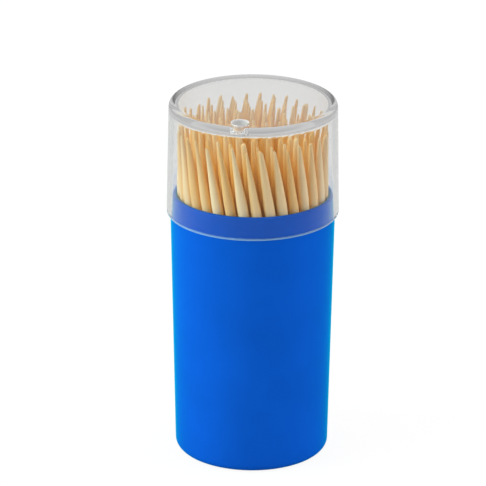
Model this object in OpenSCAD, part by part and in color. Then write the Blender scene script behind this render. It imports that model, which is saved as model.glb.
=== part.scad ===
// Toothpick bottle: a moulded cup, a clear cap pressed over its neck, and the toothpicks inside.
// Millimetres. The origin is the centre of the foot, +Z is up, and the cap's hole faces -Y.

/* [Cup] */
// Outside diameter at the foot
cup_base_d = 30.1; // [26:0.1:36]
// Outside diameter at the shoulder, where the cap stands
cup_shoulder_d = 32.1; // [28:0.1:38]
// Height of the shoulder
shoulder_h = 49.4; // [40:0.1:56]
// Height of the neck above the shoulder
neck_h = 4.4; // [3:0.1:7]
// Thickness of the side wall at the floor
cup_wall = 0.9; // [0.7:0.05:1.5]
// Thickness of the neck at its rim
neck_wall = 0.8; // [0.6:0.05:1.2]
// Thickness of the floor
floor_t = 1.5; // [0.8:0.1:2.5]
// Depth of the recess under the floor
foot_recess = 2; // [0.5:0.1:3]
// Width of the flat ring that the cup stands on
foot_ring_w = 1; // [0.6:0.1:2]
// Radius of the outside edge at the foot
cup_edge_r = 1.4; // [0.5:0.1:2]
// Radius of the outside edge of the rim
rim_edge_r = 0.3; // [0.1:0.05:0.5]

/* [Cap] */
// How far the cap stands out past the cup's shoulder
cap_overhang = 0.75; // [0.3:0.05:1.5]
// Width of the cap's lip that stands on the shoulder
seat_w = 0.25; // [0.15:0.05:0.5]
// Clearance between the neck and the cap around it
cap_fit = 0.1; // [0.05:0.01:0.2]
// How much the outside radius narrows from the lip to the top
cap_draft = 0.45; // [0:0.05:1]
// Thickness of the side wall at the top
cap_wall = 1.25; // [0.8:0.05:2]
// Thickness of the top
cap_top_t = 1.5; // [1:0.1:2.5]
// Room between full-length toothpicks and the top
head_room = 2; // [1:0.5:8]
// Radius of the outside edge at the top
cap_edge_r = 1.1; // [0.3:0.1:1.5]
// Radius of the inside corner under the top
cap_corner_r = 0.9; // [0.1:0.1:1.5]
// Radius of the outside edge of the lip
lip_edge_r = 0.3; // [0.1:0.05:0.6]

/* [Dispensing hole] */
// How much wider the hole is than a toothpick
hole_room = 1.1; // [0.5:0.1:3]
// Width of the top left between the hole and the side wall
hole_margin = 0.9; // [0.5:0.1:4]
// Direction of the hole from the axis, in degrees from +X
hole_angle = -101.5; // [-180:0.5:180]

/* [Toothpicks] */
// Length of a full toothpick
pick_length = 65; // [60:0.5:75]
// Diameter of the straight part
pick_d = 2.1; // [1.8:0.05:2.4]
// Length of the taper at each end
pick_taper = 12; // [6:0.5:16]
// Diameter of the blunt points
pick_point_d = 0.5; // [0.2:0.05:0.8]
// Most that a toothpick falls short of its full length
pick_short = 1.2; // [0:0.1:2]
// Lean of the outer toothpicks in the twisted bundle, in degrees
pick_lean = 9.3; // [6:0.1:11]
// Least room between neighbours in a row
pick_gap = 0.06; // [0.05:0.01:0.3]
// Room between rows at the bundle's waist
row_gap = 0.3; // [0.1:0.05:0.6]
// Share of the places in a row that are filled
row_fill = 0.93; // [0.8:0.01:1]
// Room between the outer toothpicks and the cup
side_gap = 0.15; // [0.05:0.01:0.3]
// Gap under each point, where it stands on the floor
stand_gap = 0.02; // [0.01:0.01:0.1]
// Seed for the uneven spacing and lengths
pick_seed = 11; // [1:1:99]

/* [Hidden] */
$fn = 96;
overcut = 0.5;

// Cup
base_r = cup_base_d / 2;
shoulder_r = cup_shoulder_d / 2;
cup_h = shoulder_h + neck_h;
floor_z = foot_recess + floor_t;
recess_r = base_r - cup_edge_r - foot_ring_w;

// Cap, in place on the cup
cap_lip_r = shoulder_r + cap_overhang;
cap_top_r = cap_lip_r - cap_draft;
ceiling_z = floor_z + pick_length + head_room;
cap_top_z = ceiling_z + cap_top_t;
ceiling_r = cap_top_r - cap_wall;
lip_inner_r = shoulder_r - seat_w;
hole_d = pick_d + hole_room;
hole_r = ceiling_r - hole_margin - hole_d / 2;

// Straight lines of the section, as radius against height
function between(a, b, share) = a + (b - a) * share;
function cup_outer_r(z) = between(base_r, shoulder_r, z / shoulder_h);
function cap_inner_r(z) = between(lip_inner_r, ceiling_r, (z - shoulder_h) / (ceiling_z - shoulder_h));
function neck_r(z) = cap_inner_r(z) - cap_fit;
floor_r = cup_outer_r(floor_z) - cup_wall;
mouth_r = neck_r(cup_h) - neck_wall;
function cup_inner_r(z) = between(floor_r, mouth_r, (z - floor_z) / (cup_h - floor_z));

// The outer row leans around the axis. It comes nearest the wall where its lower taper ends and at the
// cup's mouth, and those two places fix the line of each toothpick. Heights are shares of pick_length.
pick_r = pick_d / 2;
point_r = pick_point_d / 2;
pick_reach = pick_r / cos(pick_lean);
low_share = pick_taper / pick_length;
high_share = (cup_h - floor_z) / pick_length;
low_r = cup_inner_r(floor_z + pick_taper) - pick_reach - side_gap;
high_r = mouth_r - pick_reach - side_gap;
leaning = (high_share - low_share) * pick_length * tan(pick_lean);
bundle_turn = acos((low_r * low_r + high_r * high_r - leaning * leaning) / (2 * low_r * high_r));
function turned(v, angle) = [v.x * cos(angle) - v.y * sin(angle), v.x * sin(angle) + v.y * cos(angle)];
low_place = [low_r, 0];
high_place = turned([high_r, 0], -bundle_turn);
function guide(share) = between(low_place, high_place, (share - low_share) / (high_share - low_share));

// The bundle's waist is where that line passes closest to the axis. Rows are packed there, from the
// outside in, and every other level is the same pattern, turned and scaled.
waist_along = low_r * (low_r - high_r * cos(bundle_turn)) / (leaning * leaning);
waist_share = min(1, max(0, between(low_share, high_share, waist_along)));
waist_r = norm(guide(waist_share));
pitch = 2 * pick_reach + pick_gap;
row_pitch = 2 * pick_reach + row_gap;
row_count = floor((waist_r - row_pitch / 2) / row_pitch) + 1;
function row_r(row) = waist_r - (row - 1) * row_pitch;
function row_step(row) = 2 * asin(pitch / 2 / row_r(row));
function picks_in(row) = floor(row_fill * 360 / row_step(row));

// Uneven gaps that use up the room left in a row, as the angle of each toothpick from the row's middle one
function dice(low, high, row, use) = rands(low, high, picks_in(row), pick_seed + 10 * row + use);
function total(list) = list * [for (value = list) 1];
function running(list) = [for (i = 0, sum = 0; i < len(list); sum = sum + list[i], i = i + 1) sum];
function uneven_angles(row, use) =
    let (
        shares = dice(0, 1, row, use),
        spare = 360 - picks_in(row) * row_step(row),
        angles = running([for (share = shares) row_step(row) + spare * share / total(shares)])
    )
    [for (angle = angles) angle - total(angles) / len(angles)];

// Every toothpick from the outside in: foot and tip of a full-length centre line, and its own length.
// Feet and tips have gaps of their own, so that no two neighbours lean quite alike.
function level(row, angle, share) = turned(guide(share), angle) * row_r(row) / waist_r;
function row_places(row) =
    let (
        start = dice(0, 360, row, 1)[0],
        feet = uneven_angles(row, 2),
        tips = uneven_angles(row, 3),
        shorts = dice(0, pick_short, row, 4)
    )
    [for (i = [0 : len(feet) - 1]) [
        level(row, start + feet[i], 0),
        level(row, start + tips[i], 1),
        pick_length - shorts[i],
    ]];
places = [for (row = [1 : row_count]) each row_places(row)];

// The outermost toothpicks are nodes of their own, and the others share a few nodes
single_count = 36;
group_count = 5;
others = len(places) - single_count;
function group_start(group) = single_count + floor(others * (group - 1) / group_count);
function single_name(i) = str("toothpick_", i < 10 ? "0" : "", i);
function group_name(group) = str("inner_toothpicks_", group);

// Half section of a tapered round, with its bottom and top outside edges rounded
module tapered_section(low_r, high_r, low_z, high_z, low_edge = 0, high_edge = 0) {
    slope = atan((high_r - low_r) / (high_z - low_z));
    side = [cos(slope), -sin(slope)];
    low_c = [low_r + low_edge * tan(slope) - low_edge / cos(slope), low_z + low_edge];
    high_c = [high_r - high_edge * tan(slope) - high_edge / cos(slope), high_z - high_edge];
    polygon([
        [0, low_z],
        [low_c.x, low_z],
        low_c + low_edge * side,
        high_c + high_edge * side,
        [high_c.x, high_z],
        [0, high_z],
    ]);
    if (low_edge > 0) translate(low_c) circle(r = low_edge);
    if (high_edge > 0) translate(high_c) circle(r = high_edge);
}

module cup() {
    color([0.03, 0.36, 0.85])
    rotate_extrude()
    difference() {
        union() {
            tapered_section(base_r, shoulder_r, 0, shoulder_h, low_edge = cup_edge_r);
            tapered_section(neck_r(shoulder_h), neck_r(cup_h), shoulder_h, cup_h, high_edge = rim_edge_r);
        }
        tapered_section(floor_r, cup_inner_r(cup_h + overcut), floor_z, cup_h + overcut);
        tapered_section(recess_r, recess_r, -overcut, foot_recess);
    }
}

module cap() {
    color([0.88, 0.9, 0.92, 0.4])
    difference() {
        rotate_extrude()
        difference() {
            tapered_section(cap_lip_r, cap_top_r, shoulder_h, cap_top_z, lip_edge_r, cap_edge_r);
            tapered_section(
                cap_inner_r(shoulder_h - overcut), ceiling_r,
                shoulder_h - overcut, ceiling_z, high_edge = cap_corner_r
            );
        }
        dispensing_hole();
    }
}

module dispensing_hole() {
    rotate([0, 0, hole_angle])
    translate([hole_r, 0, ceiling_z - overcut])
    cylinder(d = hole_d, h = cap_top_t + 2 * overcut);
}

// One toothpick standing on the origin, pointed at both ends
module toothpick(length) {
    rotate_extrude()
    polygon([
        [0, 0],
        [point_r, 0],
        [pick_r, pick_taper],
        [pick_r, length - pick_taper],
        [point_r, length],
        [0, length],
    ]);
}

// One toothpick in its place in the bundle
module placed_toothpick(place) {
    foot = place[0];
    run = place[1] - foot;
    lean = atan(norm(run) / pick_length);
    color("burlywood")
    translate([foot.x, foot.y, floor_z + point_r * sin(lean) + stand_gap])
    rotate([0, lean, atan2(run.y, run.x)])
    toothpick(place[2]);
}

module inner_toothpicks(group) {
    for (i = [group_start(group) : group_start(group + 1) - 1]) placed_toothpick(places[i]);
}

cup();
cap();
for (i = [1 : single_count]) placed_toothpick(places[i - 1]);
for (group = [1 : group_count]) inner_toothpicks(group);
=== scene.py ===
"""A bottle of toothpicks: a blue moulded cup, a clear cap over its neck, and the wooden toothpicks inside."""

import math
import random

import bmesh
import bpy
import numpy as np
from mathutils import Matrix, Vector


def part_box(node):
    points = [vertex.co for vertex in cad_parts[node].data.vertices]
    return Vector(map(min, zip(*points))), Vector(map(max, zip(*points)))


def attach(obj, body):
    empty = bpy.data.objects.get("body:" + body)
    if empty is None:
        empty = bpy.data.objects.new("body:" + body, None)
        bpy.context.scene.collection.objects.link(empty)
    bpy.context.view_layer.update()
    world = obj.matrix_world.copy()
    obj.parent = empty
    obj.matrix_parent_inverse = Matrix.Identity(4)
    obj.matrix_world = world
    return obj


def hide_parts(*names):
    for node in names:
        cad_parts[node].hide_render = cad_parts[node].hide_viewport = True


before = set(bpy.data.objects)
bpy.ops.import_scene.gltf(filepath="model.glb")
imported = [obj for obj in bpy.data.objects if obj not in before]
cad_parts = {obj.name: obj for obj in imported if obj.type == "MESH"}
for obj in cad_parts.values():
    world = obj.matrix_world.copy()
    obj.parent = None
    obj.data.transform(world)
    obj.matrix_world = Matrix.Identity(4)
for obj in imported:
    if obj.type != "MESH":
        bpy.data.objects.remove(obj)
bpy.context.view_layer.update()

bl_info = {
    "name": "Toothpick Bottle",
    "version": (1, 0, 0),
    "blender": (4, 5, 0),
    "location": "3D View > Sidebar > Toothpicks",
    "description": "Builds a moulded cup, a clear cap and a bundle of wooden toothpicks around a fixed frame",
    "category": "Object",
}

MM = 0.001
PHOTO_SIDE = 486
_, CUP_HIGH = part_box("cup")
CAP_LOW, CAP_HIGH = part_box("cap")
CUP_BODY = "filled_cup"
CAP_BODY = "lid"

# Fineness of the meshes
TURNED_SEGMENTS = 192
HOLE_SEGMENTS = 64
FLOOR_SEGMENTS = 64
CUP_EDGE_STEPS = 8
CAP_EDGE_STEPS = 12
HOLE_EDGE_STEPS = 6
SHARP_MOULDED_EDGE = math.radians(35)
SHARP_WOODEN_EDGE = math.radians(50)
ON_AXIS = 1e-7

# Reading the CAD toothpicks: how close two points are one, and how far the ring at an end reaches
SAME_POINT = 0.001 * MM
END_RING = 0.9 * MM

# Rings of a wooden toothpick: at each round point, along each taper and along the straight part
DOME = (0, 0.03 * MM, 0.1 * MM, 0.25 * MM)
DOME_START = 0.01 * MM
LOW_STEPS = 8
STRAIGHT_STEPS = 10
HIGH_STEPS = 12

# Ranges from which each toothpick draws its shape, as shares of the even one
FATNESS = (0.95, 1.03)
OVAL = (0.95, 1.05)
BLUNT_CHANCE = 0.2
BLUNT_POINT = (1.2, 1.7)
SHARP_POINT = (0.7, 1.2)
BLUNT_SWELL = (1.15, 1.45)
SHARP_SWELL = (0.95, 1.3)
SLANT = (0.0, 0.8)
SLANT_FADE = 6

# Waves along each toothpick, as a rise and a length, and flutes around it, as a rise and a number
WAVES = ((0.025, 3.1 * MM), (0.015, 1.3 * MM))
FLUTES = ((0.02, 3), (0.012, 5))

# The wood's own grain map: how far from 0 it may start, and its stretch along each toothpick
GRAIN_START = 50
GRAIN_STRETCH = 40

# How fast the nearness to a point falls along a taper, and at how many heights the bundle is measured
POINT_FADE = 3
BUNDLE_LEVELS = 24

# Sockets of the Mix node when it mixes colours
MIX_FACTOR, MIX_FIRST, MIX_SECOND, MIX_RESULT = 0, 6, 7, 2

# Noise, in hills per metre on the plastics and in hills per unit of the grain map on the wood
CLOUD_SCALE = 90
MOULD_SCALE = 5200
FLOW_SCALE = 160
HAZE_SCALE = 1400
FINE_GRAIN_SCALE = 9.0
BROAD_GRAIN_SCALE = 2.2
FINE_GRAIN_ROUGHNESS = 0.6

# Stops of the grey ramps, as pairs of a place and a level
CLOUD_STOPS = ((0.35, 0.0), (0.65, 1.0))
HAZE_STOPS = ((0.45, 0.0), (0.8, 1.0))
# Fade of the painted glint along the lip
LIP_STOPS = ((0.5, 0.35), (1.0, 0.0))
# Fade of the painted reflection on the hole's wall
HOLE_STOPS = ((0.0, 0.0), (0.8, 0.45))
WARMTH_STOPS = ((0.35, 0.0), (0.85, 1.0))
# Ramp of the painted shade and glow over the depth in the bundle
DEPTH_STOPS = ((0.12, 0.0), (0.55, 1.0))

# Bumps, as a strength and a height
MOULD_BUMP = (0.12, 0.02 * MM)
FLOW_BUMP = (0.15, 0.05 * MM)
WOOD_BUMP = (0.35, 0.06 * MM)

# Plain colours of the materials and the lights
WHITE = (1, 1, 1)
HALF_GREY = (0.5, 0.5, 0.5)
# Pale wall of the dispensing hole: a painted reflection, standing in for light reflected inside the hole
HOLE_PAINTED_REFLECTION = (0.9, 0.9, 0.9)
CAP_REFLECTION = (0.25, 0.25, 0.25)

# Plain roughness and gloss, and how strongly noise, tone and depth change a colour or a roughness
CLOUD_SHADE = 0.04
MOULD_ROUGHNESS_RANGE = 0.1
CAP_ROUGHNESS = 0.015
HAZE_ROUGHNESS = 0.05
WOOD_ROUGHNESS = 0.6
GRAIN_ROUGHNESS = 0.2
WOOD_SPECULAR = 0.3
FINE_WARMTH = 0.45
BROAD_WARMTH = 0.3
TONE_WARMTH = 0.5
POINT_WARMTH = 0.35
POINT_SHADE = 0.75
# How strongly the painted shade and glow inside the bundle change the wood's colour
DEPTH_PAINTED_GLOW = 0.8

# Lamps: name, place, size, power and tint
LAMPS = (
    ("left_softbox", (-0.62, -0.16, 0.36), (0.5, 0.6), 5.2, (0.88, 1.0, 0.92)),
    ("right_softbox", (0.62, -0.08, 0.3), (0.4, 0.6), 2.2, WHITE),
    ("top_softbox", (0.0, 0.15, 0.75), (0.6, 0.6), 2.4, WHITE),
)

# Camera: width of its sensor in millimetres, and nearest and farthest distance that it sees in metres
SENSOR_WIDTH = 36
CLIP_RANGE = (0.05, 20)


def length(name, description, default):
    """A property for a size in metres."""
    return bpy.props.FloatProperty(
        name=name, description=description, default=default, min=0, precision=5, unit="LENGTH"
    )


def colour(name, description, default):
    """A property for a linear colour."""
    return bpy.props.FloatVectorProperty(
        name=name, description=description, default=default, min=0, max=1, size=3, subtype="COLOR"
    )


def share(name, description, default):
    """A property for a number from 0 to 1."""
    return bpy.props.FloatProperty(
        name=name, description=description, default=default, min=0, max=1, subtype="FACTOR"
    )


def level(name, description, default, **limits):
    """A property for a plain number."""
    return bpy.props.FloatProperty(name=name, description=description, default=default, **limits)


def direction(name, description, degrees):
    """A property for an angle, whose default is given in degrees."""
    return bpy.props.FloatProperty(
        name=name, description=description, default=math.radians(degrees), subtype="ANGLE"
    )


class CupSettings(bpy.types.PropertyGroup):
    """Sizes and finish of the moulded cup."""

    foot_radius: length("Foot radius", "Outside radius at the foot", 15.05 * MM)
    shoulder_radius: length("Shoulder radius", "Outside radius where the cap stands", 16.05 * MM)
    shoulder_height: length("Shoulder height", "Height of the shoulder under the cap", CAP_LOW.z)
    rim_height: length("Rim height", "Height of the cup's rim", CUP_HIGH.z)
    neck_foot_radius: length("Neck radius at the shoulder", "Outside radius of the neck, low", 15.7 * MM)
    neck_rim_radius: length("Neck radius at the rim", "Outside radius of the neck, high", 15.554 * MM)
    mouth_radius: length("Mouth radius", "Inside radius at the rim", 14.754 * MM)
    floor_radius: length("Floor radius", "Inside radius at the floor", 14.22 * MM)
    floor_height: length("Floor height", "Height of the floor's top", 3.5 * MM)
    recess_radius: length("Recess radius", "Radius of the recess under the floor", 12.65 * MM)
    recess_depth: length("Recess depth", "Depth of the recess under the floor", 2 * MM)
    foot_edge: length("Foot edge", "Radius of the outside edge at the foot", 1.4 * MM)
    rim_edge: length("Rim edge", "Radius of the rim's edges", 0.3 * MM)
    small_edge: length("Small edges", "Radius of the other moulded edges", 0.12 * MM)
    colour: colour("Plastic colour", "Colour of the moulded plastic", (0.004, 0.096, 0.60))
    gloss_tint: colour("Gloss tint", "Tint of the plastic's soft highlights", (0.0, 1.0, 1.0))
    gloss_index: level("Gloss index", "Refractive index that sets how strong the gloss is", 1.2, min=1, max=2)
    roughness: share("Roughness", "Roughness of the moulded surface", 0.42)


class CapSettings(bpy.types.PropertyGroup):
    """Sizes and finish of the clear cap."""

    lip_radius: length("Lip radius", "Outside radius at the lip", 16.8 * MM)
    top_radius: length("Top radius", "Outside radius at the top", 16.35 * MM)
    lip_inner_radius: length("Lip inner radius", "Inside radius at the lip", 15.8 * MM)
    ceiling_radius: length("Ceiling radius", "Inside radius under the top", 15.1 * MM)
    top_thickness: length("Top thickness", "Thickness of the top", 1.5 * MM)
    top_edge: length("Top edge", "Radius of the outside edge at the top", 1.1 * MM)
    lip_edge: length("Lip edge", "Radius of the outside edge at the lip", 0.3 * MM)
    corner: length("Inside corner", "Radius of the inside corner under the top", 0.9 * MM)
    small_edge: length("Small edges", "Radius of the inside edge at the lip", 0.1 * MM)
    hole_radius: length("Hole radius", "Radius of the dispensing hole", 1.6 * MM)
    hole_reach: length("Hole reach", "Distance of the hole's centre from the axis", 12.6 * MM)
    hole_angle: direction("Hole angle", "Direction of the hole from +X", -101.5)
    hole_edge: length("Hole edge", "Radius of the hole's rounded edges", 0.22 * MM)
    colour: colour("Plastic tint", "Tint of the clear plastic", (0.985, 0.985, 0.98))
    passing_light: colour("Passing light", "Lamp light that each surface of the cap lets in", (1.0, 1.0, 1.0))
    density: level("Density", "How fast light fades inside the plastic, per metre", 145, min=0)
    # Painted glint: a diffuse light blue band along the lip that stands in for the blue cup seen in the lip's
    # edge
    painted_lip_glint_height: length("Frosted lip", "Height of the frosted band along the lip's edge", 0.4 * MM)
    lip_tint: colour("Lip tint", "Colour of the frosted band", (0.45, 0.78, 0.95))
    # Painted glow: plain white light that the plastic gives off after two or more reflections inside it,
    # standing in for light trapped in the wall
    painted_wall_glow: level("Caught light", "Light that has bounced many times inside the plastic", 0.95, min=0)
    index: level("Refractive index", "Refractive index of the plastic", 1.53, min=1, max=2)


class ToothpickSettings(bpy.types.PropertyGroup):
    """Sizes and finish of the toothpicks."""

    radius: length("Radius", "Radius of the straight part", 1.05 * MM)
    taper: length("Taper", "Length of the taper at each end", 12 * MM)
    point_radius: length("Point radius", "Radius of the points", 0.25 * MM)
    bow: length("Bow", "Most that a toothpick bows sideways", 0.1 * MM)
    sides: bpy.props.IntProperty(
        name="Sides", description="Sides of the round section", default=16, min=8, max=48
    )
    pale: colour("Pale wood", "Colour of the pale wood", (0.95, 0.77, 0.48))
    warm: colour("Warm wood", "Colour of the warmer grain", (0.89, 0.57, 0.23))
    # Painted shade and bounced glow: the saturated orange that the wood inside the bundle is painted with,
    # standing in for light that passes through and between the toothpicks
    painted_bundle_glow: colour("Deep wood", "Colour inside the bundle, lit through other wood", (1.0, 0.57, 0.10))
    # Height under the points over which the painted shade and glow fade out towards the top of the bundle
    painted_glow_fade: length("Open top", "Height under the points in which the bundle lets plain light in", 13 * MM)
    seed: bpy.props.IntProperty(name="Seed", description="Seed for the uneven points and grain", default=5)


class StageSettings(bpy.types.PropertyGroup):
    """Floor, lights and camera."""

    distance: length("Camera distance", "Distance of the camera from the middle of the bottle", 0.8)
    elevation: direction("Elevation", "Camera's angle above the horizon", 22.0)
    roll: direction("Roll", "Camera's roll", 0.27)
    pixels_per_mm: level("Scale", "Photograph's pixels per millimetre at the middle of the bottle", 5.0976)
    middle_px: bpy.props.FloatVectorProperty(
        name="Middle",
        description="Photograph's pixel of the middle of the bottle",
        default=(252.55, 273.57),
        size=2,
    )
    middle_height: length("Middle height", "Height of the point that the camera frames", 36 * MM)
    floor_radius: length("Floor radius", "Radius of the pale floor", 3.0)
    floor_colour: colour("Floor colour", "Colour of the pale floor", (0.93, 0.93, 0.93))
    bounce_colour: colour("Bounce colour", "Colour of the floor in bounced light", (0.5, 0.5, 0.5))
    floor_glow: share("Floor glow", "Share of the floor's look that is plain white, without shadow", 0.92)
    mirrored_white: share("Mirrored white", "Share of the white background that reflections show", 0.2)
    world_light: level("World light", "Strength of the light from all round", 0.56, min=0)


class Wire:
    """A number socket, so that shader maths can be written as an expression."""

    def __init__(self, tree, socket):
        self.tree = tree
        self.socket = socket

    def maths(self, operation, first, second):
        """Adds a Math node for two values and returns its result."""
        made = self.tree.nodes.new("ShaderNodeMath")
        made.operation = operation
        for socket, value in zip(made.inputs, (first, second)):
            if isinstance(value, Wire):
                self.tree.links.new(value.socket, socket)
            else:
                socket.default_value = value
        return Wire(self.tree, made.outputs[0])

    def reaches(self, count):
        """1 where a number of bounces is at least a count."""
        return self.maths("GREATER_THAN", self, count - 0.5)

    def most(self, other):
        """The larger of two numbers."""
        return self.maths("MAXIMUM", self, other)

    def __add__(self, other):
        return self.maths("ADD", self, other)

    def __sub__(self, other):
        return self.maths("SUBTRACT", self, other)

    def __rsub__(self, other):
        return self.maths("SUBTRACT", other, self)

    def __mul__(self, other):
        return self.maths("MULTIPLY", self, other)

    __radd__ = __add__
    __rmul__ = __mul__


class Shader:
    """The node tree of a material or of the world, filled by calls."""

    def __init__(self, owner):
        owner.use_nodes = True
        self.tree = owner.node_tree
        self.tree.nodes.clear()

    def node(self, kind, settings=None, sockets=None):
        """Adds a node, sets it up, then fills its sockets with values or links."""
        made = self.tree.nodes.new(kind)
        for name, value in (settings or {}).items():
            if name == "stops":
                self.set_stops(made.color_ramp, value)
            else:
                setattr(made, name, value)
        for key, value in (sockets or {}).items():
            self.fill(made.inputs[key], value)
        return made

    def set_stops(self, ramp, stops):
        """Gives a colour ramp its two stops: pairs of a place and a grey level."""
        for element, (place, grey) in zip(ramp.elements, stops):
            element.position = place
            element.color = (grey, grey, grey, 1)

    def fill(self, socket, value):
        """Links a socket, or sets its own value."""
        if isinstance(value, Wire):
            value = value.socket
        if isinstance(value, bpy.types.NodeSocket):
            self.tree.links.new(value, socket)
        elif socket.type == "RGBA":
            socket.default_value = (*value, 1)
        else:
            socket.default_value = value

    def number(self, node, output=0):
        """A node's output as a number for shader maths."""
        return Wire(self.tree, node.outputs[output])

    def measure(self, name):
        """A number that the mesh holds at each point."""
        return self.number(self.node("ShaderNodeAttribute", {"attribute_name": name}), "Fac")

    def noise(self, vector, scale, detail, roughness=0.5):
        """Noise from 0 to 1 over a vector, with about 1 / scale between its hills."""
        sockets = {"Vector": vector, "Scale": scale, "Detail": detail, "Roughness": roughness}
        return self.number(self.node("ShaderNodeTexNoise", None, sockets))

    def ramp(self, value, stops):
        """A number spread again by a ramp of grey levels."""
        return self.number(self.node("ShaderNodeValToRGB", {"stops": stops}, {"Fac": value}))

    def blend(self, factor, first, second):
        """A colour between two colours."""
        sockets = {MIX_FACTOR: factor, MIX_FIRST: first, MIX_SECOND: second}
        return self.node("ShaderNodeMix", {"data_type": "RGBA"}, sockets).outputs[MIX_RESULT]

    def vectors(self, operation, first, second):
        """A Vector Math node for two vectors."""
        return self.node("ShaderNodeVectorMath", {"operation": operation}, {0: first, 1: second})

    def bump(self, height, strength, distance):
        """A normal raised by a height from 0 to 1."""
        sockets = {"Height": height, "Strength": strength, "Distance": distance}
        return self.node("ShaderNodeBump", None, sockets).outputs["Normal"]

    def part(self, kind, sockets):
        """Adds a node that is a shader and returns its output."""
        return self.node(kind, None, sockets).outputs[0]

    def mix(self, factor, first, second):
        """A shader between two shaders."""
        return self.part("ShaderNodeMixShader", {0: factor, 1: first, 2: second})

    def show(self, surface, target="ShaderNodeOutputMaterial", **more):
        """Shows a shader on the surface, and fills any other socket of the output by its name."""
        self.node(target, None, {"Surface": surface, **more})


def new_material(name):
    """A material with an empty node tree."""
    material = bpy.data.materials.new(name)
    return material, Shader(material)


def blue_plastic(settings):
    """Polypropylene with a fine moulded texture. All its gloss is the tinted one that is mixed in."""
    material, shader = new_material("blue_moulded_plastic")
    place = shader.node("ShaderNodeTexCoord").outputs["Object"]
    cloud = shader.ramp(shader.noise(place, CLOUD_SCALE, detail=3), CLOUD_STOPS)
    grain = shader.noise(place, MOULD_SCALE, detail=2)
    darker = Vector(settings.colour) * (1 - CLOUD_SHADE)
    lighter = Vector(settings.colour) * (1 + CLOUD_SHADE)
    plastic = shader.part(
        "ShaderNodeBsdfPrincipled",
        {
            "Base Color": shader.blend(cloud, tuple(darker), tuple(lighter)),
            "Roughness": settings.roughness + MOULD_ROUGHNESS_RANGE * (grain - 0.5),
            "Specular IOR Level": 0.0,
            "Normal": shader.bump(grain, *MOULD_BUMP),
        },
    )
    gloss = shader.part(
        "ShaderNodeBsdfGlossy", {"Color": tuple(settings.gloss_tint), "Roughness": settings.roughness}
    )
    shine = shader.number(shader.node("ShaderNodeFresnel", None, {"IOR": settings.gloss_index}))
    shader.show(shader.mix(shine, plastic, gloss))
    return material


def clear_body(shader, place, settings):
    """The clear plastic itself, with slow flow marks and a little haze."""
    flow = shader.noise(place, FLOW_SCALE, detail=2)
    haze = shader.ramp(shader.noise(place, HAZE_SCALE, detail=3), HAZE_STOPS)
    return shader.part(
        "ShaderNodeBsdfPrincipled",
        {
            "Base Color": tuple(settings.colour),
            "Roughness": CAP_ROUGHNESS + HAZE_ROUGHNESS * haze,
            "IOR": settings.index,
            "Specular Tint": CAP_REFLECTION,
            "Transmission Weight": 1.0,
            "Normal": shader.bump(flow, *FLOW_BUMP),
        },
    )


def painted_glint(shader, place, settings, plastic):
    """The clear plastic with a painted glint along its lip, a light blue band that stands in for the blue cup
    seen in the lip's edge, and a painted reflection on the wall of its hole, a pale diffuse wall that stands
    in for light reflected inside the hole.
    """
    height = shader.number(shader.node("ShaderNodeSeparateXYZ", None, {0: place}), "Z")
    lip = shader.ramp((height - CAP_LOW.z) * (1 / settings.painted_lip_glint_height), LIP_STOPS)
    on_foot_level = shader.vectors("MULTIPLY", place, (1, 1, 0)).outputs[0]
    reach = shader.number(shader.vectors("DISTANCE", on_foot_level, hole_place(settings)), "Value")
    inward = settings.hole_radius + settings.hole_edge - reach
    hole = shader.ramp(inward * (1 / settings.hole_edge), HOLE_STOPS)
    # Painted glint along the lip, a diffuse light blue band
    band = shader.part("ShaderNodeBsdfDiffuse", {"Color": tuple(settings.lip_tint)})
    # Painted reflection: the hole's wall is a pale diffuse surface instead of clear plastic
    wall = shader.part("ShaderNodeBsdfDiffuse", {"Color": HOLE_PAINTED_REFLECTION})
    return shader.mix(hole, shader.mix(lip, plastic, band), wall)


def clear_plastic(settings):
    """Clear polystyrene, which lets the lamps' light through to what is behind it, and which gives off a
    painted glow where rays have been reflected inside it.
    """
    material, shader = new_material("clear_plastic")
    place = shader.node("ShaderNodeTexCoord").outputs["Object"]
    surface = painted_glint(shader, place, settings, clear_body(shader, place, settings))
    path = shader.node("ShaderNodeLightPath")
    # Painted glow: after two or more reflections inside the plastic, a ray sees plain white light instead of
    # the plastic
    caught = shader.number(path, "Glossy Depth").reaches(2)
    glow = shader.part("ShaderNodeEmission", {"Color": WHITE, "Strength": settings.painted_wall_glow})
    lit = shader.mix(caught, surface, glow)
    open_way = shader.part("ShaderNodeBsdfTransparent", {"Color": tuple(settings.passing_light)})
    depth = shader.part("ShaderNodeVolumeAbsorption", {"Color": HALF_GREY, "Density": settings.density})
    shader.show(shader.mix(path.outputs["Is Shadow Ray"], lit, open_way), Volume=depth)
    return material


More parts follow.
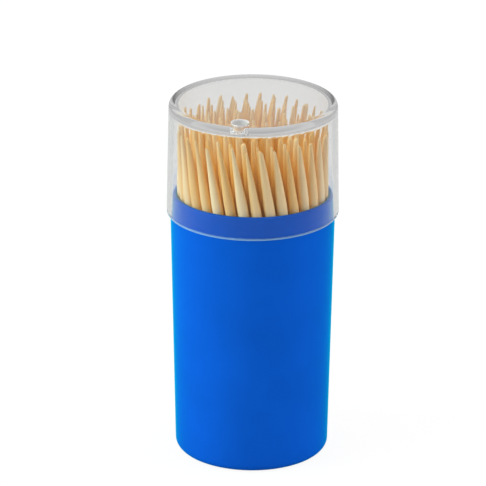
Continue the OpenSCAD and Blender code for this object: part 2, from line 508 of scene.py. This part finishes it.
def pale_wood(settings):
    """Bare wood with grain along each toothpick, whose tone differs from stick to stick, with painted shade
    and bounced glow inside the bundle.
    """
    material, shader = new_material("pale_wood")
    along = shader.node("ShaderNodeAttribute", {"attribute_name": "stick_place"}).outputs["Vector"]
    fine = shader.noise(along, FINE_GRAIN_SCALE, detail=4, roughness=FINE_GRAIN_ROUGHNESS)
    broad = shader.noise(along, BROAD_GRAIN_SCALE, detail=2)
    tone = shader.measure("stick_tone")
    warmth = shader.ramp(FINE_WARMTH * fine + BROAD_WARMTH * broad + TONE_WARMTH * tone, WARMTH_STOPS)
    grain = shader.blend(warmth, tuple(settings.pale), tuple(settings.warm))
    darker = tuple(Vector(settings.warm) * POINT_SHADE)
    with_points = shader.blend(POINT_WARMTH * shader.measure("stick_point"), grain, darker)
    # Painted shade and bounced glow: further inside the bundle the wood turns to the painted orange
    inside = DEPTH_PAINTED_GLOW * shader.ramp(shader.measure("painted_glow_depth"), DEPTH_STOPS)
    wood = shader.part(
        "ShaderNodeBsdfPrincipled",
        {
            "Base Color": shader.blend(inside, with_points, tuple(settings.painted_bundle_glow)),
            "Roughness": WOOD_ROUGHNESS + GRAIN_ROUGHNESS * fine,
            "Specular IOR Level": WOOD_SPECULAR,
            "Normal": shader.bump(fine, *WOOD_BUMP),
        },
    )
    shader.show(wood)
    return material


def arc_points(corner, before, after, radius, steps):
    """Points of a fillet at a corner."""
    back = (before - corner).normalized()
    ahead = (after - corner).normalized()
    half = back.angle(ahead) / 2
    reach = radius / math.tan(half)
    middle = corner + (back + ahead).normalized() * (radius / math.sin(half))
    start = corner + back * reach - middle
    end = corner + ahead * reach - middle
    turn = start.angle_signed(end)
    return [middle + Matrix.Rotation(-turn * i / steps, 2) @ start for i in range(steps + 1)]


def rounded_outline(corners, steps):
    """An outline in radius and height whose corners, given with a radius each, are rounded."""
    places = [Vector((r, z)) for r, z, _ in corners]
    outline = []
    for i, (place, (_, _, radius)) in enumerate(zip(places, corners)):
        if radius == 0 or i in (0, len(corners) - 1):
            outline.append(place)
        else:
            outline += arc_points(place, places[i - 1], places[i + 1], radius, steps)
    return outline


def ring_places(place, segments):
    """Places around the Z axis at an outline's radius and height, or the one place on the axis."""
    if place.x < ON_AXIS:
        return [(0, 0, place.y)]
    angles = [2 * math.pi * i / segments for i in range(segments)]
    return [(place.x * math.cos(angle), place.x * math.sin(angle), place.y) for angle in angles]


def add_turned(shape, outline, segments):
    """Adds the surface that an outline, from axis to axis, sweeps around the Z axis."""
    rings = [[shape.verts.new(spot) for spot in ring_places(place, segments)] for place in outline]
    for low, high in zip(rings, rings[1:]):
        for i in range(segments):
            after = i + 1
            corners = (
                low[i % len(low)],
                low[after % len(low)],
                high[after % len(high)],
                high[i % len(high)],
            )
            shape.faces.new(dict.fromkeys(corners))


def turned_piece(name, outline, segments=TURNED_SEGMENTS):
    """An object with the surface that an outline sweeps around the Z axis."""
    shape = bmesh.new()
    add_turned(shape, outline, segments)
    bmesh.ops.recalc_face_normals(shape, faces=shape.faces)
    mesh = bpy.data.meshes.new(name)
    shape.to_mesh(mesh)
    shape.free()
    piece = bpy.data.objects.new(name, mesh)
    bpy.context.scene.collection.objects.link(piece)
    return piece


def smooth(piece, angle):
    """Shades a piece smooth, apart from edges sharper than an angle."""
    piece.data.polygons.foreach_set("use_smooth", [True] * len(piece.data.polygons))
    piece.data.set_sharp_from_angle(angle=angle)
    piece.data.update()


def smooth_moulding(piece):
    """Shades a moulded piece smooth, with its large faces flat and only its rounded edges curved."""
    smooth(piece, SHARP_MOULDED_EDGE)
    flattening = piece.modifiers.new("flat_faces", "WEIGHTED_NORMAL")
    flattening.keep_sharp = True
    apply_modifiers(piece)


def apply_modifiers(piece):
    """Turns a piece's modifiers into its mesh."""
    bpy.context.view_layer.update()
    evaluated = piece.evaluated_get(bpy.context.evaluated_depsgraph_get())
    made = bpy.data.meshes.new_from_object(evaluated)
    piece.modifiers.clear()
    piece.data = made


def finish_piece(piece, material, body, slot, *nodes):
    """Gives a piece its material and body, and hides the nodes that it stands for. The slot is not used."""
    piece.data.materials.clear()
    piece.data.materials.append(material)
    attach(piece, body)
    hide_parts(*nodes)


def cup_outline(cup):
    """Outline of the cup's wall and floor, from the axis under the floor to the axis on it."""
    small = cup.small_edge
    corners = [
        (0, cup.recess_depth, 0),
        (cup.recess_radius, cup.recess_depth, small),
        (cup.recess_radius, 0, small),
        (cup.foot_radius, 0, cup.foot_edge),
        (cup.shoulder_radius, cup.shoulder_height, small),
        (cup.neck_foot_radius, cup.shoulder_height, small),
        (cup.neck_rim_radius, cup.rim_height, cup.rim_edge),
        (cup.mouth_radius, cup.rim_height, cup.rim_edge),
        (cup.floor_radius, cup.floor_height, small),
        (0, cup.floor_height, 0),
    ]
    return rounded_outline(corners, CUP_EDGE_STEPS)


def cap_outline(cap):
    """Outline of the cap's wall and top, from the axis on the top to the axis under it."""
    ceiling = CAP_HIGH.z - cap.top_thickness
    corners = [
        (0, CAP_HIGH.z, 0),
        (cap.top_radius, CAP_HIGH.z, cap.top_edge),
        (cap.lip_radius, CAP_LOW.z, cap.lip_edge),
        (cap.lip_inner_radius, CAP_LOW.z, cap.small_edge),
        (cap.ceiling_radius, ceiling, cap.corner),
        (0, ceiling, 0),
    ]
    return rounded_outline(corners, CAP_EDGE_STEPS)


def hole_place(cap):
    """Where the hole's axis meets the level of the foot."""
    return cap.hole_reach * math.cos(cap.hole_angle), cap.hole_reach * math.sin(cap.hole_angle), 0


def hole_cutter(cap):
    """A plug that cuts the dispensing hole and rounds both its edges."""
    top = CAP_HIGH.z
    ceiling = top - cap.top_thickness
    edge = cap.hole_edge
    flare = cap.hole_radius + edge
    quarter = [math.pi / 2 * i / HOLE_EDGE_STEPS for i in range(HOLE_EDGE_STEPS + 1)]
    low = [Vector((flare - edge * math.sin(a), ceiling + edge - edge * math.cos(a))) for a in quarter]
    high = [Vector((flare - edge * math.cos(a), top - edge + edge * math.sin(a))) for a in quarter]
    outside = [Vector((0, ceiling - edge)), Vector((flare, ceiling - edge))]
    above = [Vector((flare, top + edge)), Vector((0, top + edge))]
    cutter = turned_piece("hole_cutter", outside + low + high + above, HOLE_SEGMENTS)
    cutter.location = hole_place(cap)
    return cutter


def cut(piece, cutter):
    """Cuts one object's shape out of another and removes the cutter."""
    cutting = piece.modifiers.new("cut", "BOOLEAN")
    cutting.operation = "DIFFERENCE"
    cutting.solver = "EXACT"
    cutting.object = cutter
    apply_modifiers(piece)
    bpy.data.objects.remove(cutter)


def stick_ends(node):
    """Foot and tip of each toothpick in a CAD node, from the small rings at its two ends."""
    shape = bmesh.new()
    shape.from_mesh(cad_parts[node].data)
    bmesh.ops.remove_doubles(shape, verts=shape.verts, dist=SAME_POINT)
    unseen = set(shape.verts)
    ends = []
    while unseen:
        front = [unseen.pop()]
        stick = list(front)
        while front:
            joined = {edge.other_vert(vert) for vert in front for edge in vert.link_edges} & unseen
            unseen -= joined
            front = list(joined)
            stick += front
        ends.append(end_centres([vert.co for vert in stick]))
    shape.free()
    return sorted(ends, key=lambda pair: (round(pair[0].x, 6), round(pair[0].y, 6)))


def end_centres(points):
    """Centres of the lowest and highest rings of a leaning stick."""
    foot = min(points, key=lambda point: point.z)
    tip = max(points, key=lambda point: point.z)
    low = [point for point in points if (point - foot).length < END_RING]
    high = [point for point in points if (point - tip).length < END_RING]
    return sum(low, Vector()) / len(low), sum(high, Vector()) / len(high)


class Stick:
    """The shape of one toothpick: round, pointed at both ends, and made a little uneven by dice."""

    def __init__(self, foot, tip, settings, dice):
        axis = tip - foot
        spin = Matrix.Rotation(dice.uniform(0, math.tau), 3, "Z")
        self.turn = axis.to_track_quat("Z", "Y").to_matrix() @ spin
        self.foot = foot
        self.length = axis.length
        self.taper = settings.taper
        self.radius = settings.radius * dice.uniform(*FATNESS)
        self.oval = dice.uniform(*OVAL)
        blunt = dice.random() < BLUNT_CHANCE
        self.foot_radius = settings.point_radius
        self.tip_radius = settings.point_radius * dice.uniform(*(BLUNT_POINT if blunt else SHARP_POINT))
        self.swell = dice.uniform(*(BLUNT_SWELL if blunt else SHARP_SWELL))
        self.slant = dice.uniform(*SLANT) * self.tip_radius
        self.bow = settings.bow * dice.uniform(-1, 1)
        first, second, third = (dice.uniform(0, math.tau) for _ in range(3))
        self.wave_starts = (first, second)
        self.flute_starts = (third, first)

    def stations(self):
        """Distances from the foot that have a ring: close on the tapers, closest at the points."""
        straight_part = self.length - 2 * self.taper
        low = [self.taper * (i / LOW_STEPS) for i in range(1, LOW_STEPS + 1)]
        straight = [self.taper + straight_part * i / STRAIGHT_STEPS for i in range(1, STRAIGHT_STEPS)]
        high = [self.length - self.taper * (1 - i / HIGH_STEPS) for i in range(HIGH_STEPS)]
        end = [self.length - along for along in reversed(DOME)]
        return [*DOME, *low, *straight, *high, *end]

    def taper_shares(self, along):
        """How far a station is from the foot and from the tip, as shares of the taper up to 1."""
        return min(1, along / self.taper), min(1, (self.length - along) / self.taper)

    def radius_at(self, along):
        """Radius at a station, before the waves and flutes."""
        low_share, high_share = self.taper_shares(along)
        low = self.foot_radius + (self.radius - self.foot_radius) * low_share
        high = self.tip_radius + (self.radius - self.tip_radius) * (1 - (1 - high_share) ** self.swell)
        return min(low * self.dome_share(along), high * self.dome_share(self.length - along))

    def dome_share(self, along):
        """Share of the radius that a round point leaves at a distance from its end."""
        return math.sqrt(1 - (1 - min(1, (along + DOME_START) / self.tip_radius)) ** 2)

    def wave(self, along):
        """How much fuller the stick is at a station than without its waves, as a factor."""
        waves = zip(WAVES, self.wave_starts)
        return 1 + sum(rise * math.sin(along / size + start) for (rise, size), start in waves)

    def flute(self, angle):
        """How much fuller the stick is in a direction than without its flutes, as a factor."""
        flutes = zip(FLUTES, self.flute_starts)
        return 1 + sum(rise * math.sin(number * angle + start) for (rise, number), start in flutes)

    def ring(self, along, angles):
        """Points around the stick at a station."""
        out = self.radius_at(along) * self.wave(along)
        shift = self.bow * math.sin(math.pi * along / self.length)
        tilt = self.slant * (1 - self.taper_shares(along)[1]) ** SLANT_FADE
        points = []
        for angle in angles:
            reach = out * self.flute(angle)
            x = reach * math.cos(angle) * self.oval + shift
            y = reach * math.sin(angle) / self.oval
            z = along - tilt * (1 + math.cos(angle))
            points.append(self.foot + self.turn @ Vector((x, y, z)))
        return points

    def nearness(self, along):
        """1 at either point of the stick, falling to 0 where its taper ends."""
        return (1 - min(self.taper_shares(along))) ** POINT_FADE


class Bundle:
    """The outline of all the toothpicks together, which tells how far inside them a point lies; this sets the
    painted shade and bounced glow of the wood.
    """

    def __init__(self, ends, settings):
        feet = np.array([foot for foot, _ in ends])
        tips = np.array([tip for _, tip in ends])
        self.thickness = 2 * settings.radius
        self.painted_glow_fade = settings.painted_glow_fade
        self.heights = np.linspace(feet[:, 2].min(), tips[:, 2].max(), BUNDLE_LEVELS)
        along = (self.heights[:, None] - feet[:, 2]) / (tips[:, 2] - feet[:, 2])
        x = feet[:, 0] + along * (tips[:, 0] - feet[:, 0])
        y = feet[:, 1] + along * (tips[:, 1] - feet[:, 1])
        self.reach = np.hypot(x, y).max(axis=1) + settings.radius

    def depth(self, points):
        """0 on the outside and at the top of the bundle, and up to 1 from one toothpick further in."""
        x, y, z = np.array(points).T
        inward = (np.interp(z, self.heights, self.reach) - np.hypot(x, y)) / self.thickness
        below = (self.heights[-1] - z) / self.painted_glow_fade
        return np.clip(inward, 0, 1) * np.clip(below, 0, 1)


class StickMesh:
    """Points and faces of one or more toothpicks, with what the wood material reads at each point."""

    def __init__(self):
        self.points = []
        self.faces = []
        self.places = []
        self.tones = []
        self.nearness = []

    def add(self, foot, tip, settings, dice):
        """Adds one toothpick."""
        tone = dice.random()
        origin = Vector([dice.uniform(-GRAIN_START, GRAIN_START) for _ in range(3)])
        stick = Stick(foot, tip, settings, dice)
        angles = [math.tau * i / settings.sides for i in range(settings.sides)]
        start = len(self.points)
        for along in stick.stations():
            self.points += stick.ring(along, angles)
            map_height = along * GRAIN_STRETCH
            self.places += [origin + Vector((math.cos(a), math.sin(a), map_height)) for a in angles]
            self.tones += [tone] * settings.sides
            self.nearness += [stick.nearness(along)] * settings.sides
        self.skin(start, settings.sides)

    def skin(self, start, sides):
        """Adds the faces over the rings of points from a start on, closed at both ends."""
        rings = range(start, len(self.points), sides)
        for below, above in zip(rings, rings[1:]):
            for i in range(sides):
                after = (i + 1) % sides
                self.faces.append((below + i, below + after, above + after, above + i))
        self.faces.append(tuple(reversed(range(start, start + sides))))
        self.faces.append(tuple(range(rings[-1], rings[-1] + sides)))

    def piece(self, name, bundle):
        """The object that holds them."""
        mesh = bpy.data.meshes.new(name)
        mesh.from_pydata(self.points, [], self.faces)
        place = mesh.attributes.new("stick_place", "FLOAT_VECTOR", "POINT")
        place.data.foreach_set("vector", np.array(self.places, np.float32).ravel())
        measures = {
            "stick_tone": self.tones,
            "stick_point": self.nearness,
            # Depth inside the bundle, which sets the painted shade and glow
            "painted_glow_depth": bundle.depth(self.points),
        }
        for label, values in measures.items():
            measure = mesh.attributes.new(label, "FLOAT", "POINT")
            measure.data.foreach_set("value", np.array(values, np.float32))
        piece = bpy.data.objects.new(name, mesh)
        bpy.context.scene.collection.objects.link(piece)
        smooth(piece, SHARP_WOODEN_EDGE)
        return piece


def add_lamp(name, place, target, size, power, tint):
    """A soft oblong lamp aimed at a point, which the clear cap doesn't mirror."""
    data = bpy.data.lights.new(name, "AREA")
    data.shape = "RECTANGLE"
    data.size, data.size_y = size
    data.energy = power
    data.color = tint
    lamp = bpy.data.objects.new(name, data)
    lamp.visible_glossy = False
    lamp.visible_transmission = False
    lamp.location = place
    lamp.rotation_mode = "QUATERNION"
    lamp.rotation_quaternion = (Vector(target) - Vector(place)).to_track_quat("-Z", "Y")
    bpy.context.scene.collection.objects.link(lamp)


def seen_white(shader, stage):
    """How far a ray sees the plain white: fully when straight or through plastic, less in a mirror."""
    rays = shader.node("ShaderNodeLightPath")
    straight = shader.number(rays, "Is Camera Ray")
    bounced = shader.number(rays, "Glossy Depth").reaches(1)
    through = shader.number(rays, "Is Transmission Ray") * (1 - bounced)
    mirrored = shader.number(rays, "Is Glossy Ray") * stage.mirrored_white
    return straight.most(through).most(mirrored)


def make_world(stage):
    """A plain white surround that lights the bottle more softly than it looks."""
    world = bpy.data.worlds.new("studio")
    bpy.context.scene.world = world
    shader = Shader(world)
    strength = stage.world_light + (1 - stage.world_light) * seen_white(shader, stage)
    light = shader.part("ShaderNodeBackground", {"Color": WHITE, "Strength": strength})
    shader.show(light, "ShaderNodeOutputWorld")


def floor_material(stage):
    """Plain white where it is seen, with a trace of shadow, and darker in the light that it throws back."""
    material, shader = new_material("pale_floor")
    matt = shader.part("ShaderNodeBsdfDiffuse", {"Color": tuple(stage.floor_colour)})
    glow = shader.part("ShaderNodeEmission", {"Color": WHITE, "Strength": 1.0})
    bounced = shader.part("ShaderNodeBsdfDiffuse", {"Color": tuple(stage.bounce_colour)})
    white = shader.mix(stage.floor_glow, matt, glow)
    shader.show(shader.mix(seen_white(shader, stage), bounced, white))
    return material


def make_floor(stage):
    """A pale floor that stays white in view and keeps a soft shadow."""
    shape = bmesh.new()
    bmesh.ops.create_circle(shape, cap_ends=True, radius=stage.floor_radius, segments=FLOOR_SEGMENTS)
    mesh = bpy.data.meshes.new("floor")
    shape.to_mesh(mesh)
    shape.free()
    mesh.materials.append(floor_material(stage))
    floor = bpy.data.objects.new("floor", mesh)
    bpy.context.scene.collection.objects.link(floor)


def make_camera(stage):
    """A long lens at the photograph's angle, aimed so that the bottle lies where the photograph has it."""
    middle = Vector((0, 0, stage.middle_height))
    back = Vector((0, -math.cos(stage.elevation), math.sin(stage.elevation)))
    up = Vector((0, math.sin(stage.elevation), math.cos(stage.elevation)))
    right_by = (PHOTO_SIDE / 2 - stage.middle_px[0]) / stage.pixels_per_mm * MM
    up_by = (stage.middle_px[1] - PHOTO_SIDE / 2) / stage.pixels_per_mm * MM
    data = bpy.data.cameras.new("camera")
    data.sensor_width = SENSOR_WIDTH
    data.lens = stage.pixels_per_mm * stage.distance / MM * SENSOR_WIDTH / PHOTO_SIDE
    data.clip_start, data.clip_end = CLIP_RANGE
    camera = bpy.data.objects.new("camera", data)
    camera.location = middle + back * stage.distance
    aim = middle + Vector((right_by, 0, 0)) + up * up_by
    camera.rotation_mode = "QUATERNION"
    looking = (aim - camera.location).to_track_quat("-Z", "Y")
    camera.rotation_quaternion = looking @ Matrix.Rotation(stage.roll, 3, "Z").to_quaternion()
    bpy.context.scene.collection.objects.link(camera)
    bpy.context.scene.camera = camera


class BOTTLE_OT_stage(bpy.types.Operator):
    """Make the floor, the lights and the camera"""

    bl_idname = "toothpick_bottle.stage"
    bl_label = "Make Stage"

    def execute(self, context):
        """Builds the stage."""
        stage = context.scene.bottle_stage
        make_world(stage)
        make_floor(stage)
        target = (0, 0, stage.middle_height)
        for name, place, size, power, tint in LAMPS:
            add_lamp(name, place, target, size, power, tint)
        make_camera(stage)
        context.scene.view_settings.view_transform = "Standard"
        return {"FINISHED"}


class BOTTLE_OT_cup(bpy.types.Operator):
    """Make the moulded blue cup"""

    bl_idname = "toothpick_bottle.cup"
    bl_label = "Make Cup"

    def execute(self, context):
        """Builds the cup."""
        settings = context.scene.bottle_cup
        piece = turned_piece("moulded_cup", cup_outline(settings))
        smooth_moulding(piece)
        finish_piece(piece, blue_plastic(settings), CUP_BODY, "blue_plastic", "cup")
        return {"FINISHED"}


class BOTTLE_OT_cap(bpy.types.Operator):
    """Make the clear cap with its dispensing hole"""

    bl_idname = "toothpick_bottle.cap"
    bl_label = "Make Cap"

    def execute(self, context):
        """Builds the cap."""
        settings = context.scene.bottle_cap
        piece = turned_piece("clear_cap", cap_outline(settings))
        cut(piece, hole_cutter(settings))
        smooth_moulding(piece)
        finish_piece(piece, clear_plastic(settings), CAP_BODY, "clear_plastic", "cap")
        return {"FINISHED"}


class BOTTLE_OT_toothpicks(bpy.types.Operator):
    """Make the wooden toothpicks in their places"""

    bl_idname = "toothpick_bottle.toothpicks"
    bl_label = "Make Toothpicks"

    def execute(self, context):
        """Builds one piece for each toothpick node."""
        settings = context.scene.bottle_toothpicks
        material = pale_wood(settings)
        dice = random.Random(settings.seed)
        ends = {node: stick_ends(node) for node in sorted(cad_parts) if "toothpick" in node}
        bundle = Bundle([pair for pairs in ends.values() for pair in pairs], settings)
        for node, pairs in ends.items():
            sticks = StickMesh()
            for foot, tip in pairs:
                sticks.add(foot, tip, settings, dice)
            finish_piece(sticks.piece("wooden_" + node, bundle), material, CUP_BODY, "wood", node)
        return {"FINISHED"}


class BOTTLE_PT_panel(bpy.types.Panel):
    """Lists the bottle's operators and sizes"""

    bl_idname = "BOTTLE_PT_panel"
    bl_label = "Toothpick Bottle"
    bl_space_type = "VIEW_3D"
    bl_region_type = "UI"
    bl_category = "Toothpicks"

    def draw(self, context):
        """Draws the buttons, each over its own settings."""
        for operator, group in STEPS:
            box = self.layout.box()
            box.operator(operator.bl_idname)
            settings = getattr(context.scene, group)
            for name in type(settings).__annotations__:
                box.prop(settings, name)


STEPS = (
    (BOTTLE_OT_stage, "bottle_stage"),
    (BOTTLE_OT_cup, "bottle_cup"),
    (BOTTLE_OT_cap, "bottle_cap"),
    (BOTTLE_OT_toothpicks, "bottle_toothpicks"),
)
GROUPS = {
    "bottle_stage": StageSettings,
    "bottle_cup": CupSettings,
    "bottle_cap": CapSettings,
    "bottle_toothpicks": ToothpickSettings,
}


def register():
    """Registers the classes and hangs the settings on the scene."""
    for name, group in GROUPS.items():
        bpy.utils.register_class(group)
        setattr(bpy.types.Scene, name, bpy.props.PointerProperty(type=group))
    for operator, _ in STEPS:
        bpy.utils.register_class(operator)
    bpy.utils.register_class(BOTTLE_PT_panel)


def unregister():
    """Takes them off again."""
    bpy.utils.unregister_class(BOTTLE_PT_panel)
    for operator, _ in reversed(STEPS):
        bpy.utils.unregister_class(operator)
    for name, group in reversed(GROUPS.items()):
        delattr(bpy.types.Scene, name)
        bpy.utils.unregister_class(group)


def main():
    """Builds the bottle."""
    register()
    bpy.ops.toothpick_bottle.stage()
    bpy.ops.toothpick_bottle.cup()
    bpy.ops.toothpick_bottle.cap()
    bpy.ops.toothpick_bottle.toothpicks()


if __name__ == "__main__":
    main()
